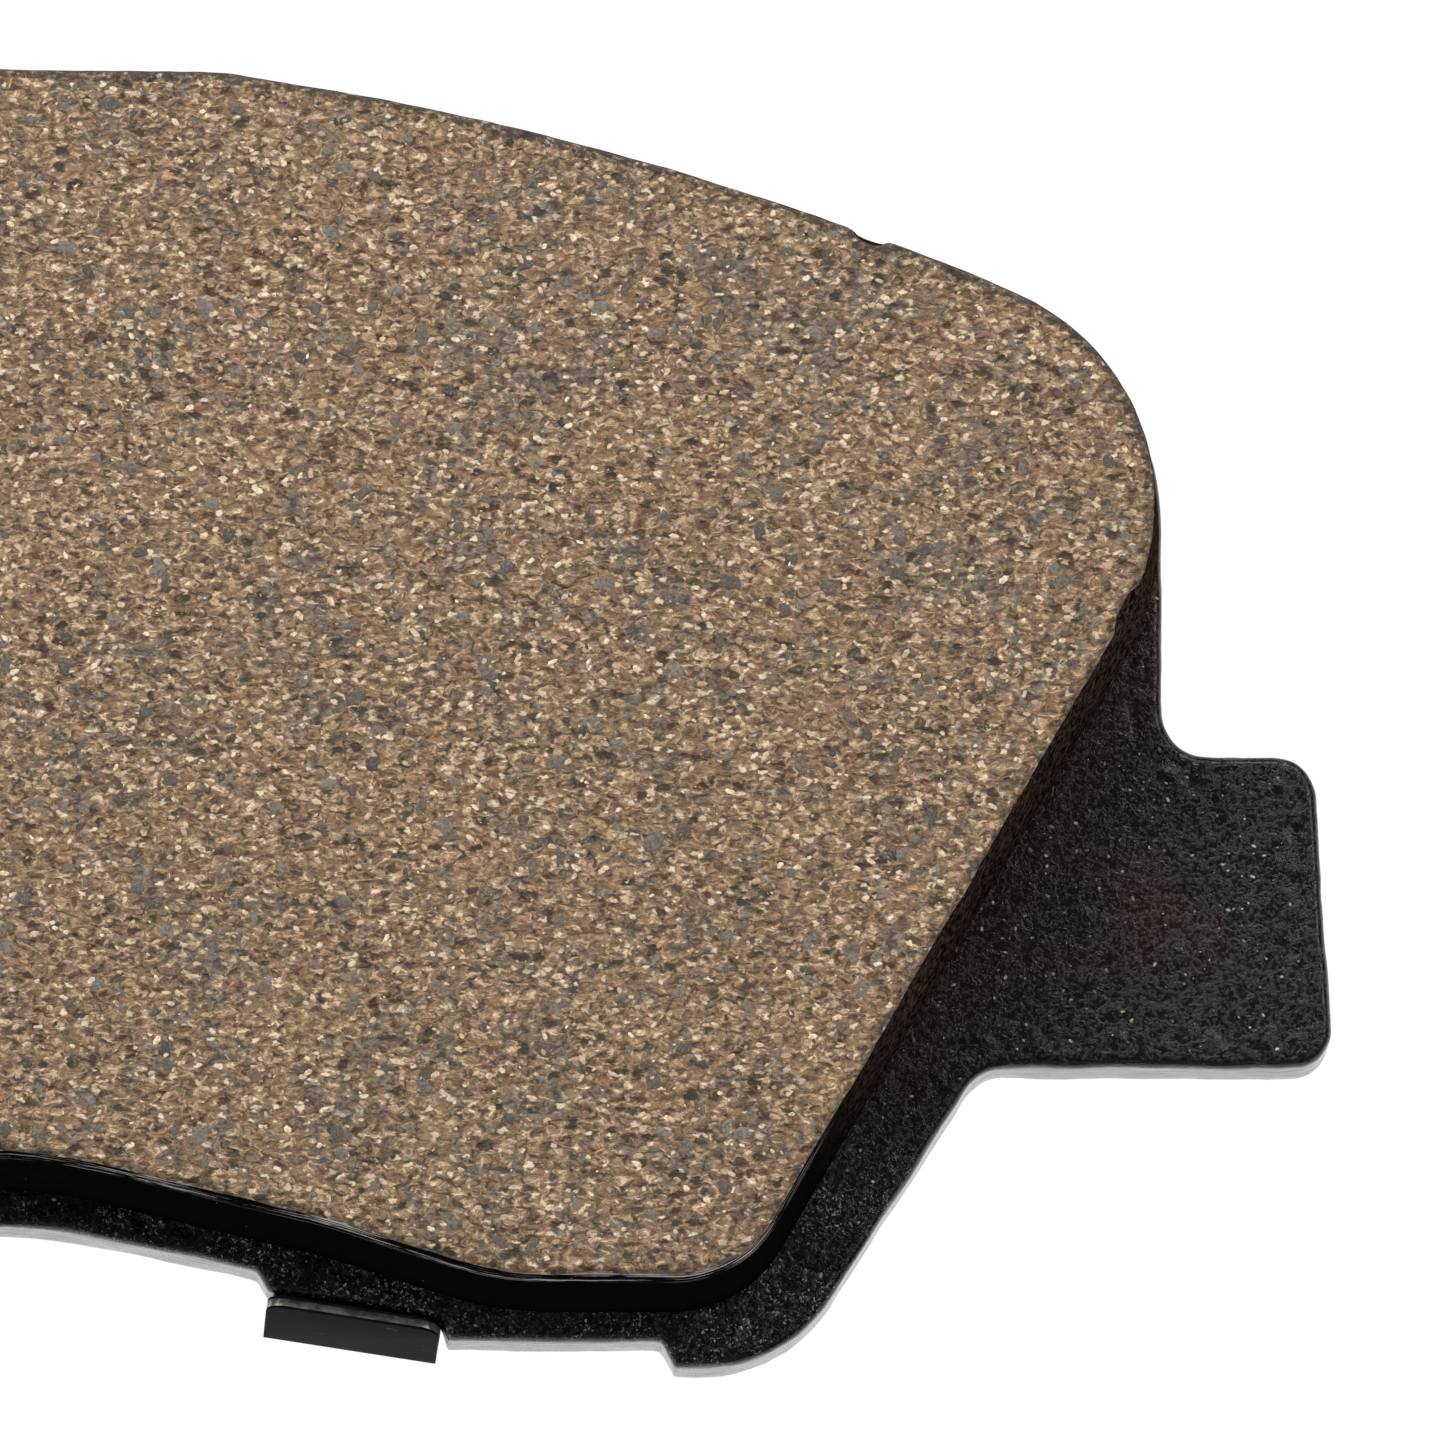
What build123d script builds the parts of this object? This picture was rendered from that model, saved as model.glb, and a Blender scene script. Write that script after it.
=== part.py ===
from build123d import *
from math import cos, hypot, radians, sin, tan
import os

os.makedirs("parts", exist_ok=True)

# Disc brake pad lying on its shim with the friction face up. X runs along the two ears, +Y
# points to the outer rim of the disc, +Z towards the disc. The origin is the middle of the
# rear shim face, where the piston presses. All sizes are in millimetres.

# ---------------------------------------------------------------- thicknesses
RUBBER_T = 0.15            # each rubber coat of the shim
STEEL_T = 0.40             # steel sheet of the shim
PLATE_T = 5.50             # backing plate
BOND_T = 0.10              # baked adhesive film on the plate
UNDERLAYER_T = 2.00        # insulating layer between plate and friction material
FRICTION_T = 10.00         # friction material above the underlayer
SHIM_T = 2 * RUBBER_T + STEEL_T

PLATE_Z = SHIM_T                       # rear face of the plate
BOND_Z = PLATE_Z + PLATE_T             # front face of the plate
BLOCK_Z = BOND_Z + BOND_T              # foot of the moulded block
FRICTION_Z = BLOCK_Z + UNDERLAYER_T    # joint between underlayer and friction material
FACE_Z = FRICTION_Z + FRICTION_T       # friction face
BLOCK_T = UNDERLAYER_T + FRICTION_T

# ---------------------------------------------------------------- backing plate
SHOULDER_X = 61.20         # side of the plate above the ears
TOP_FLAT_X = 11.80         # half length of the straight middle of the upper edge
PLATE_TOP_Y = 33.75        # straight middle of the upper edge
TOP_FALL = 14.55           # the upper edge drops this far on its way to the side
TOP_ARC_R = 165.0          # upper edge beside the straight middle
PLATE_CORNER_R = 13.2      # upper corners
EAR_TOP_Y = -1.65          # ear face nearest the disc rim
EAR_H = 16.60              # height of an ear between its two guided faces
EAR_REACH = 8.00           # ear stands out from the side of the plate
EAR_SPLAY = 1.00           # lower corner of the ear is this much further out
EAR_ROOT_IN = 9.60         # foot of the ear on the slanted side
EAR_ROOT_TOP_R = 2.3
EAR_ROOT_BOTTOM_R = 2.6
EAR_CORNER_TOP_R = 2.3
EAR_CORNER_BOTTOM_R = 2.0
LOBE_X = 41.40             # lowest lobe, where it would meet the slanted side
LOBE_Y = -34.15
LOBE_R = 8.0
LOBE_W = 5.90              # lobe reaches this far in from that corner
LOBE_STEP_RUN = 0.70
LOBE_DROP = 1.40           # lobe stands below the lower land
LAND_STEP_X = 23.60        # inner end of the lower land
TAB_LAND_OUT_X = 23.30     # straight seat of each lower shim tab
TAB_LAND_OUT_Y = -31.55
TAB_LAND_IN_X = 14.20
TAB_LAND_IN_Y = -30.15
ARCH_FOOT_X = 13.60        # foot of the low arch in the middle of the lower edge
ARCH_FOOT_Y = -29.05
ARCH_RISE = 2.80           # height of the arch if its peak were sharp
ARCH_R = 25.0
EDGE_ROLL = 0.35           # rounded front edge left by blanking

PLATE_TOP_END_Y = PLATE_TOP_Y - TOP_FALL
EAR_BOTTOM_Y = EAR_TOP_Y - EAR_H
EAR_TIP_X = SHOULDER_X + EAR_REACH
EAR_ROOT_X = SHOULDER_X - EAR_ROOT_IN
LOWER_LAND_Y = LOBE_Y + LOBE_DROP
ARCH_PEAK_Y = ARCH_FOOT_Y + ARCH_RISE

# ---------------------------------------------------------------- friction block
BLOCK_TOP_MARGIN = 1.00    # plate edge to the outline of the friction face, at the top
BLOCK_KNEE_DROP = 0.15     # ends of the straight middle lie this much lower
BLOCK_CORNER_OUT = 4.15    # upper corner if it were sharp, beyond the side of the plate
BLOCK_CORNER_DROP = 3.90
BLOCK_CORNER_R = 12.1
BLOCK_FOOT_MARGIN = 2.15   # lower land to the outline
BLOCK_FOOT_IN = 2.60       # lower corner inside the corner of the lobe
BLOCK_FOOT_R = 6.0
BLOCK_WAVE_X = 26.20       # where the lower edge turns up towards the arch
BLOCK_WAVE_R = 18.0
BLOCK_KNEE_X = 17.50
BLOCK_ARCH_MARGIN = 2.65   # plate's arch to the outline
BLOCK_ARCH_RISE = 4.20     # height of the arch if its peak were sharp
BLOCK_PEAK_R = 22.0
BLOCK_DRAFT = 3.0          # degrees, wider towards the plate
RIM_BEVEL = 0.50           # broken edge round the friction face

BLOCK_TOP_Y = PLATE_TOP_Y - BLOCK_TOP_MARGIN
BLOCK_KNEE_Y = BLOCK_TOP_Y - BLOCK_KNEE_DROP
BLOCK_CORNER_X = SHOULDER_X + BLOCK_CORNER_OUT
BLOCK_CORNER_Y = PLATE_TOP_END_Y - BLOCK_CORNER_DROP
BLOCK_FOOT_X = LOBE_X - BLOCK_FOOT_IN
BLOCK_FOOT_Y = LOWER_LAND_Y + BLOCK_FOOT_MARGIN
BLOCK_PEAK_Y = ARCH_PEAK_Y + BLOCK_ARCH_MARGIN
BLOCK_KNEE_LOW_Y = BLOCK_PEAK_Y - BLOCK_ARCH_RISE
BLOCK_FLARE = BLOCK_T * tan(radians(BLOCK_DRAFT))

# ---------------------------------------------------------------- moulded keys
KEY_R = 5.0                # underlayer plugs that fill the two holes in the plate
KEY_X = 24.0
KEY_Y = 2.0

# ---------------------------------------------------------------- shim
SHIM_INSET = 0.60          # flat sheet stays inside the outline of the friction face
TAB_SIDE_GAP = 0.02        # lower tabs are narrower than their seats by twice this
TOP_TAB_W = 15.0           # single upper tab
TAB_FIT = 0.10             # gap between a tab's free end and the plate edge
TAB_END_GAP = 0.15         # free ends stay this far behind the front face of the plate
TAB_BEND_R = 0.55          # inner radius of the bends
LOWER_TAB_LEAN = 13.0      # degrees, lower tabs lean in towards their free ends
TOP_TAB_LEAN = 7.0         # degrees, upper tab
TAB_CORNER_R = 1.0         # free corners of the tabs
TAB_ROOT = 5.0             # flat length that carries each tab
TAB_TOP_Z = BOND_Z - TAB_END_GAP

TAB_MID_X = (TAB_LAND_IN_X + TAB_LAND_OUT_X) / 2
TAB_MID_Y = (TAB_LAND_IN_Y + TAB_LAND_OUT_Y) / 2
TAB_LAND_RUN = TAB_LAND_OUT_X - TAB_LAND_IN_X
TAB_LAND_FALL = TAB_LAND_IN_Y - TAB_LAND_OUT_Y
TAB_W = hypot(TAB_LAND_RUN, TAB_LAND_FALL) - 2 * TAB_SIDE_GAP


def corner_pair(outline, x, y):
    """Return the left and right corner of a symmetric outline nearest to (x, y)."""
    corners = outline.vertices()
    return corners.sort_by_distance((x, y))[:1] + corners.sort_by_distance((-x, y))[:1]


def bend_centre(lean):
    """Return the distance of the bend centre outside the plate edge and its height."""
    height = SHIM_T + TAB_BEND_R
    tilt = radians(lean)
    rise = TAB_TOP_Z - height - TAB_BEND_R * sin(tilt)
    return TAB_FIT + rise * sin(tilt) / cos(tilt) - TAB_BEND_R * cos(tilt), height


def tab_section(lean, inner, outer):
    """Return the side view of one bent layer: first axis away from the plate, second up."""
    out, height = bend_centre(lean)
    tilt = radians(lean)
    half = radians((lean - 90) / 2)
    length = (TAB_TOP_Z - height - TAB_BEND_R * sin(tilt)) / cos(tilt)
    centre = Vector(out, height)
    square = Vector(cos(tilt), sin(tilt))
    middle = Vector(cos(half), sin(half))
    run = Vector(-sin(tilt), cos(tilt)) * length
    down = Vector(0, -1)
    with BuildSketch() as side_view:
        with BuildLine():
            Line((-TAB_ROOT, height - inner), centre + down * inner)
            ThreePointArc(
                centre + down * inner,
                centre + middle * inner,
                centre + square * inner,
            )
            Polyline(
                centre + square * inner,
                centre + square * inner + run,
                centre + square * outer + run,
                centre + square * outer,
            )
            ThreePointArc(
                centre + square * outer,
                centre + middle * outer,
                centre + down * outer,
            )
            Polyline(
                centre + down * outer,
                (-TAB_ROOT, height - outer),
                (-TAB_ROOT, height - inner),
            )
        make_face()
    return side_view.sketch


def free_corners(layer, thickness):
    """Return the short edges at the free corners of the tabs of one shim layer."""
    return layer.edges().filter_by(
        lambda edge: edge.center().Z > TAB_TOP_Z - 1 and abs(edge.length - thickness) < 0.01
    )


# Side-view planes of the three tabs: first axis away from the plate edge, second axis up.
LOWER_RIGHT_TAB = Plane(
    origin=(TAB_MID_X, TAB_MID_Y, 0),
    x_dir=(-TAB_LAND_FALL, -TAB_LAND_RUN, 0),
    z_dir=(-TAB_LAND_RUN, TAB_LAND_FALL, 0),
)
LOWER_LEFT_TAB = Plane(
    origin=(-TAB_MID_X, TAB_MID_Y, 0),
    x_dir=(TAB_LAND_FALL, -TAB_LAND_RUN, 0),
    z_dir=(-TAB_LAND_RUN, -TAB_LAND_FALL, 0),
)
TOP_TAB = Plane(origin=(0, PLATE_TOP_Y, 0), x_dir=(0, 1, 0), z_dir=(1, 0, 0))

# ---------------------------------------------------------------- outlines
with BuildSketch() as plate_outline:
    with BuildLine():
        Line((0, PLATE_TOP_Y), (TOP_FLAT_X, PLATE_TOP_Y))
        RadiusArc((TOP_FLAT_X, PLATE_TOP_Y), (SHOULDER_X, PLATE_TOP_END_Y), TOP_ARC_R)
        Polyline(
            (SHOULDER_X, PLATE_TOP_END_Y),
            (SHOULDER_X, EAR_TOP_Y),
            (EAR_TIP_X, EAR_TOP_Y),
            (EAR_TIP_X + EAR_SPLAY, EAR_BOTTOM_Y),
            (EAR_ROOT_X, EAR_BOTTOM_Y),
            (LOBE_X, LOBE_Y),
            (LOBE_X - LOBE_W, LOBE_Y),
            (LOBE_X - LOBE_W - LOBE_STEP_RUN, LOWER_LAND_Y),
            (LAND_STEP_X, LOWER_LAND_Y),
            (TAB_LAND_OUT_X, TAB_LAND_OUT_Y),
            (TAB_LAND_IN_X, TAB_LAND_IN_Y),
            (ARCH_FOOT_X, ARCH_FOOT_Y),
            (0, ARCH_PEAK_Y),
        )
        mirror(about=Plane.YZ)
    make_face()
    fillet(corner_pair(plate_outline, SHOULDER_X, PLATE_TOP_END_Y), PLATE_CORNER_R)
    fillet(corner_pair(plate_outline, SHOULDER_X, EAR_TOP_Y), EAR_ROOT_TOP_R)
    fillet(corner_pair(plate_outline, EAR_TIP_X, EAR_TOP_Y), EAR_CORNER_TOP_R)
    fillet(corner_pair(plate_outline, EAR_TIP_X + EAR_SPLAY, EAR_BOTTOM_Y), EAR_CORNER_BOTTOM_R)
    fillet(corner_pair(plate_outline, EAR_ROOT_X, EAR_BOTTOM_Y), EAR_ROOT_BOTTOM_R)
    fillet(corner_pair(plate_outline, LOBE_X, LOBE_Y), LOBE_R)
    fillet(plate_outline.vertices().sort_by_distance((0, ARCH_PEAK_Y))[:1], ARCH_R)

with BuildSketch() as block_outline:
    with BuildLine():
        Line((0, BLOCK_TOP_Y), (TOP_FLAT_X, BLOCK_KNEE_Y))
        RadiusArc((TOP_FLAT_X, BLOCK_KNEE_Y), (BLOCK_CORNER_X, BLOCK_CORNER_Y), TOP_ARC_R)
        Polyline(
            (BLOCK_CORNER_X, BLOCK_CORNER_Y),
            (BLOCK_FOOT_X, BLOCK_FOOT_Y),
            (BLOCK_WAVE_X, BLOCK_FOOT_Y),
            (BLOCK_KNEE_X, BLOCK_KNEE_LOW_Y),
            (0, BLOCK_PEAK_Y),
        )
        mirror(about=Plane.YZ)
    make_face()
    fillet(corner_pair(block_outline, BLOCK_CORNER_X, BLOCK_CORNER_Y), BLOCK_CORNER_R)
    fillet(corner_pair(block_outline, BLOCK_FOOT_X, BLOCK_FOOT_Y), BLOCK_FOOT_R)
    fillet(corner_pair(block_outline, BLOCK_WAVE_X, BLOCK_FOOT_Y), BLOCK_WAVE_R)
    fillet(block_outline.vertices().sort_by_distance((0, BLOCK_PEAK_Y))[:1], BLOCK_PEAK_R)

with BuildSketch() as shim_outline:
    add(block_outline.sketch)
    offset(amount=-SHIM_INSET)

# ---------------------------------------------------------------- root body
with BuildPart() as backing_plate:
    with BuildSketch(Plane.XY.offset(PLATE_Z)):
        add(plate_outline.sketch)
    extrude(amount=PLATE_T)
    fillet(backing_plate.faces().sort_by(Axis.Z)[-1].outer_wire().edges(), EDGE_ROLL)
    # Two holes that the underlayer flows into.
    with BuildSketch(Plane.XY.offset(PLATE_Z)):
        with Locations((KEY_X, KEY_Y), (-KEY_X, KEY_Y)):
            Circle(KEY_R)
    extrude(amount=PLATE_T, mode=Mode.SUBTRACT)
backing_plate.part.label = "backing_plate"
export_step(backing_plate.part, "parts/backing_plate.step")

with BuildPart() as bond_film:
    with BuildSketch(Plane.XY.offset(BOND_Z)):
        add(block_outline.sketch)
        offset(amount=BLOCK_FLARE)
        with Locations((KEY_X, KEY_Y), (-KEY_X, KEY_Y)):
            Circle(KEY_R, mode=Mode.SUBTRACT)
    extrude(amount=BOND_T)
bond_film.part.label = "bond_film"
export_step(bond_film.part, "parts/bond_film.step")

with BuildPart() as underlayer:
    with BuildSketch(Plane.XY.offset(FACE_Z)):
        add(block_outline.sketch)
    extrude(amount=-BLOCK_T, taper=-BLOCK_DRAFT)
    split(bisect_by=Plane.XY.offset(FRICTION_Z), keep=Keep.BOTTOM)
    with BuildSketch(Plane.XY.offset(PLATE_Z)):
        with Locations((KEY_X, KEY_Y), (-KEY_X, KEY_Y)):
            Circle(KEY_R)
    extrude(amount=PLATE_T + BOND_T)
underlayer.part.label = "underlayer"
export_step(underlayer.part, "parts/underlayer.step")

with BuildPart() as friction_block:
    with BuildSketch(Plane.XY.offset(FACE_Z)):
        add(block_outline.sketch)
    extrude(amount=-BLOCK_T, taper=-BLOCK_DRAFT)
    split(bisect_by=Plane.XY.offset(FRICTION_Z), keep=Keep.TOP)
    chamfer(friction_block.faces().sort_by(Axis.Z)[-1].outer_wire().edges(), RIM_BEVEL)
friction_block.part.label = "friction_block"
export_step(friction_block.part, "parts/friction_block.step")

# ---------------------------------------------------------------- shim body
TABS = (
    (LOWER_RIGHT_TAB, LOWER_TAB_LEAN, TAB_W),
    (LOWER_LEFT_TAB, LOWER_TAB_LEAN, TAB_W),
    (TOP_TAB, TOP_TAB_LEAN, TOP_TAB_W),
)
RADIUS_0 = TAB_BEND_R + SHIM_T                 # rear surface of the sheet in the bends
RADIUS_1 = RADIUS_0 - RUBBER_T                 # outer coat meets steel
RADIUS_2 = RADIUS_1 - STEEL_T                  # steel meets inner coat
RADIUS_3 = TAB_BEND_R                          # front surface of the sheet

with BuildPart() as shim_outer_rubber:
    with BuildSketch(Plane.XY):
        add(shim_outline.sketch)
    extrude(amount=RUBBER_T)
    for tab_plane, tab_lean, tab_width in TABS:
        with BuildSketch(tab_plane):
            add(tab_section(tab_lean, RADIUS_1, RADIUS_0))
        extrude(amount=tab_width / 2, both=True)
    fillet(free_corners(shim_outer_rubber, RUBBER_T), TAB_CORNER_R)
shim_outer_rubber.part.label = "shim_outer_rubber"
export_step(shim_outer_rubber.part, "parts/shim_outer_rubber.step")

with BuildPart() as shim_steel:
    with BuildSketch(Plane.XY.offset(RUBBER_T)):
        add(shim_outline.sketch)
    extrude(amount=STEEL_T)
    for tab_plane, tab_lean, tab_width in TABS:
        with BuildSketch(tab_plane):
            add(tab_section(tab_lean, RADIUS_2, RADIUS_1))
        extrude(amount=tab_width / 2, both=True)
    fillet(free_corners(shim_steel, STEEL_T), TAB_CORNER_R)
shim_steel.part.label = "shim_steel"
export_step(shim_steel.part, "parts/shim_steel.step")

with BuildPart() as shim_inner_rubber:
    with BuildSketch(Plane.XY.offset(RUBBER_T + STEEL_T)):
        add(shim_outline.sketch)
    extrude(amount=RUBBER_T)
    for tab_plane, tab_lean, tab_width in TABS:
        with BuildSketch(tab_plane):
            add(tab_section(tab_lean, RADIUS_3, RADIUS_2))
        extrude(amount=tab_width / 2, both=True)
    fillet(free_corners(shim_inner_rubber, RUBBER_T), TAB_CORNER_R)
shim_inner_rubber.part.label = "shim_inner_rubber"
export_step(shim_inner_rubber.part, "parts/shim_inner_rubber.step")
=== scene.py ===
"""Disc brake pad with a clip-on shim: the looks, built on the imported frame."""
import logging
import math
from dataclasses import dataclass, field
from enum import Enum

import bmesh
import bpy
import numpy as np
from mathutils import Matrix, Vector, noise
from mathutils.geometry import delaunay_2d_cdt


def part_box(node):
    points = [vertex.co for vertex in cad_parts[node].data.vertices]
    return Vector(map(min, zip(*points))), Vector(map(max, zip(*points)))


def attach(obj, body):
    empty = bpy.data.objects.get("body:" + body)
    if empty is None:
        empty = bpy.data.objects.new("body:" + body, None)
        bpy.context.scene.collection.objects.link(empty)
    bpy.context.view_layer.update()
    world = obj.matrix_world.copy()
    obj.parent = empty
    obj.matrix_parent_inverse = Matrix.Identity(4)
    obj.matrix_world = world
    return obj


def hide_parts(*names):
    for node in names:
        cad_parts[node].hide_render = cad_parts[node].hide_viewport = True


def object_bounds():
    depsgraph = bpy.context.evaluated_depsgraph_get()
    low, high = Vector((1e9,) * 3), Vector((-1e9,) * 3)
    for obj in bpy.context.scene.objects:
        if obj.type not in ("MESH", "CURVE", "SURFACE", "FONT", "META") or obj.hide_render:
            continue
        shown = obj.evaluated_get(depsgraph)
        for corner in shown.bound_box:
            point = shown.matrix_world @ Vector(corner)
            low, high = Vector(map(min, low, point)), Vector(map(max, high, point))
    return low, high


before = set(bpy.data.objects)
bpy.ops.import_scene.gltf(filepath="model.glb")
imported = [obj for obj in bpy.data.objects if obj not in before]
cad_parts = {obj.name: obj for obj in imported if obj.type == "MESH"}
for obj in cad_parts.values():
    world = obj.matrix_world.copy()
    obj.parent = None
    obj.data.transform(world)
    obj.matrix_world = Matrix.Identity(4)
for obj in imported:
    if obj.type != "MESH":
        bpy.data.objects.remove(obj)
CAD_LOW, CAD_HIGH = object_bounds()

LOG = logging.getLogger("brake_pad")
PAD_BODY = "pad"
SHIM_BODY = "shim"
Rgb = tuple[float, float, float]
Scale3 = tuple[float, float, float]
Point2 = tuple[float, float]
Span = tuple[float, float]
Socket = bpy.types.NodeSocket
WHITE = (1.0, 1.0, 1.0)
MM = 0.001
PER_MM = 1000.0
SNAP = 1e-7

# How outlines are eased: the two weights of a pass, the longest step outwards and the ease after it.
RELAX, UNSHRINK = 0.50, -0.53
LONGEST_STRIDE = 0.10 * MM
STRIDE_EASE = 0.2

# How faces are filled: only inside their edges, with points closer than the seam joined.
INSIDE_EDGES = 1
SEAM = 1e-6

# Numbers of the colour sockets of a Mix node and of the plain ones of a Random Value node.
COLOUR_A, COLOUR_B, COLOUR_OUT = 6, 7, 2
CHANCE_LOW, CHANCE_HIGH, CHANCE_OUT = 2, 3, 1


class Skin(Enum):
    """Material slots of a moulded or coated piece."""

    FACE = 0
    SIDE = 1


def add_object(name: str, content: bpy.types.ID) -> bpy.types.Object:
    """Put a mesh, lamp or camera in the scene as a new object."""
    thing = bpy.data.objects.new(name, content)
    bpy.context.scene.collection.objects.link(thing)
    return thing


# ---------------------------------------------------------------- outlines
class Outline:
    """A closed outline in the plane of the pad, in metres, running anticlockwise."""

    def __init__(self, points: np.ndarray) -> None:
        """Keep the points.

        Args:
            points: N rows of x and y.
        """
        self.points = points

    @classmethod
    def cut(cls, node: str, height: float, step: float, loop: int = 0) -> "Outline":
        """Cut a CAD node with a level plane and follow the cut.

        Args:
            node: Name of the CAD node.
            height: Height of the plane.
            step: Longest stretch between two points of the result.
            loop: Which loop of the cut to take, the longest first.

        Returns:
            The outline of the cut, smoothed along its curved stretches.
        """
        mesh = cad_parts[node].data
        mesh.calc_loop_triangles()
        places = [v.co for v in mesh.vertices]
        joined: dict[tuple[int, int], list[tuple[int, int]]] = {}
        for triangle in mesh.loop_triangles:
            ends = []
            corners = [places[i] for i in triangle.vertices]
            for one, two in ((0, 1), (1, 2), (2, 0)):
                a, b = sorted((corners[one], corners[two]), key=tuple)
                if (a.z - height) * (b.z - height) < 0:
                    share = (height - a.z) / (b.z - a.z)
                    spot = a.lerp(b, share)
                    ends.append((round(spot.x / SNAP), round(spot.y / SNAP)))
            if len(ends) == 2 and ends[0] != ends[1]:
                joined.setdefault(ends[0], []).append(ends[1])
                joined.setdefault(ends[1], []).append(ends[0])
        loops = []
        while joined:
            start = next(iter(joined))
            chain, here = [start], joined.pop(start)[0]
            while here in joined:
                chain.append(here)
                onward = [k for k in joined.pop(here) if k in joined]
                if not onward:
                    break
                here = onward[0]
            loops.append(np.array(chain, dtype=float) * SNAP)
        loops.sort(key=lambda c: -np.ptp(c[:, 0]))
        return cls(loops[loop]).wound().spaced(step).smoothed()

    def middles(self) -> np.ndarray:
        """Return the place halfway between the two neighbours of each point."""
        return (np.roll(self.points, 1, axis=0) + np.roll(self.points, -1, axis=0)) / 2

    def wound(self) -> "Outline":
        """Return the outline running anticlockwise."""
        x, y = self.points.T
        area = np.dot(x, np.roll(y, -1)) - np.dot(np.roll(x, -1), y)
        return self if area > 0 else Outline(self.points[::-1].copy())

    def spaced(self, step: float) -> "Outline":
        """Return the outline with long stretches divided into steps of about one length."""
        rows = []
        for a, b in zip(self.points, np.roll(self.points, -1, axis=0)):
            count = max(1, math.ceil(float(np.hypot(*(b - a))) / step))
            rows.extend(a + (b - a) * k / count for k in range(count))
        return Outline(np.array(rows))

    def smoothed(self, rounds: int = 12, sharp: float = 24.0) -> "Outline":
        """Round the small facets of curved stretches and keep real corners.

        Args:
            rounds: How often to relax the points.
            sharp: Smallest turn in degrees that counts as a corner.

        Returns:
            The smoothed outline.
        """
        ahead = np.roll(self.points, -1, axis=0) - self.points
        behind = self.points - np.roll(self.points, 1, axis=0)
        cross = behind[:, 0] * ahead[:, 1] - behind[:, 1] * ahead[:, 0]
        turn = np.abs(np.arctan2(cross, (behind * ahead).sum(axis=1)))
        free = (np.degrees(turn) < sharp)[:, None]
        eased = Outline(self.points.copy())
        for _ in range(rounds):
            for weight in (RELAX, UNSHRINK):
                eased.points += np.where(free, weight * (eased.middles() - eased.points), 0.0)
        return eased

    def normals(self) -> np.ndarray:
        """Return the outward unit normal at each point."""
        along = np.roll(self.points, -1, axis=0) - np.roll(self.points, 1, axis=0)
        along /= np.linalg.norm(along, axis=1)[:, None]
        return np.stack([along[:, 1], -along[:, 0]], axis=1)

    def grown(self, amount: float | np.ndarray) -> "Outline":
        """Return the outline moved outwards, by one distance or one for each point.

        Args:
            amount: The distance, negative to move inwards.

        Returns:
            The moved outline, eased round tight corners.
        """
        shift = np.broadcast_to(np.asarray(amount, dtype=float), (len(self.points),))[:, None]
        strides = max(1, math.ceil(float(np.abs(shift).max()) / LONGEST_STRIDE))
        moved = Outline(self.points)
        for _ in range(strides):
            moved = Outline(moved.points + moved.normals() * shift / strides)
            if strides > 1:
                moved.points += STRIDE_EASE * (moved.middles() - moved.points)
        return moved

    def holds(self, spots: np.ndarray) -> np.ndarray:
        """Tell which spots lie inside the outline."""
        inside = np.zeros(len(spots), dtype=bool)
        a = self.points
        b = np.roll(a, -1, axis=0)
        for (x0, y0), (x1, y1) in zip(a, b):
            if y0 == y1:
                continue
            crosses = (y0 > spots[:, 1]) != (y1 > spots[:, 1])
            at = (x1 - x0) * (spots[:, 1] - y0) / (y1 - y0) + x0
            inside ^= crosses & (spots[:, 0] < at)
        return inside

    def distance(self, spots: np.ndarray) -> np.ndarray:
        """Return each spot's distance to the nearest point of the outline."""
        near = np.full(len(spots), np.inf)
        for block in range(0, len(self.points), 64):
            part = self.points[block:block + 64]
            gaps = np.linalg.norm(spots[:, None, :] - part[None, :, :], axis=2)
            near = np.minimum(near, gaps.min(axis=1))
        return near


def hex_spots(low: Point2, high: Point2, pitch: float, jitter: float, seed: int) -> np.ndarray:
    """Lay a slightly shaken honeycomb of spots over a rectangle.

    Args:
        low: Lower corner.
        high: Upper corner.
        pitch: Distance between neighbours.
        jitter: Largest shake as a share of the pitch.
        seed: Seed of the shake.

    Returns:
        The spots, one row each.
    """
    chance = np.random.default_rng(seed)
    rows = []
    lift = pitch * math.sqrt(3) / 2
    for k in range(int((high[1] - low[1]) / lift) + 1):
        x = np.arange(low[0] + (k % 2) * pitch / 2, high[0], pitch)
        rows.append(np.stack([x, np.full(len(x), low[1] + k * lift)], axis=1))
    spots = np.concatenate(rows)
    return spots + chance.uniform(-jitter, jitter, spots.shape) * pitch


def ripple(spots: np.ndarray, size: float, seed: float, octaves: int = 2) -> np.ndarray:
    """Read smooth noise at places on the pad.

    Args:
        spots: Rows of x, y and perhaps z, in metres.
        size: Size of one ripple, in metres.
        seed: Offset that tells patterns apart.
        octaves: Layers of finer ripples.

    Returns:
        Values between about -1 and 1.
    """
    out = np.empty(len(spots))
    for k, spot in enumerate(spots):
        height = spot[2] if len(spot) > 2 else 0.0
        place = Vector((spot[0] / size + seed, spot[1] / size - seed, height / size))
        out[k] = noise.fractal(place, 1.0, 2.0, octaves)
    return np.clip(out * 1.6, -1, 1)


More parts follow.
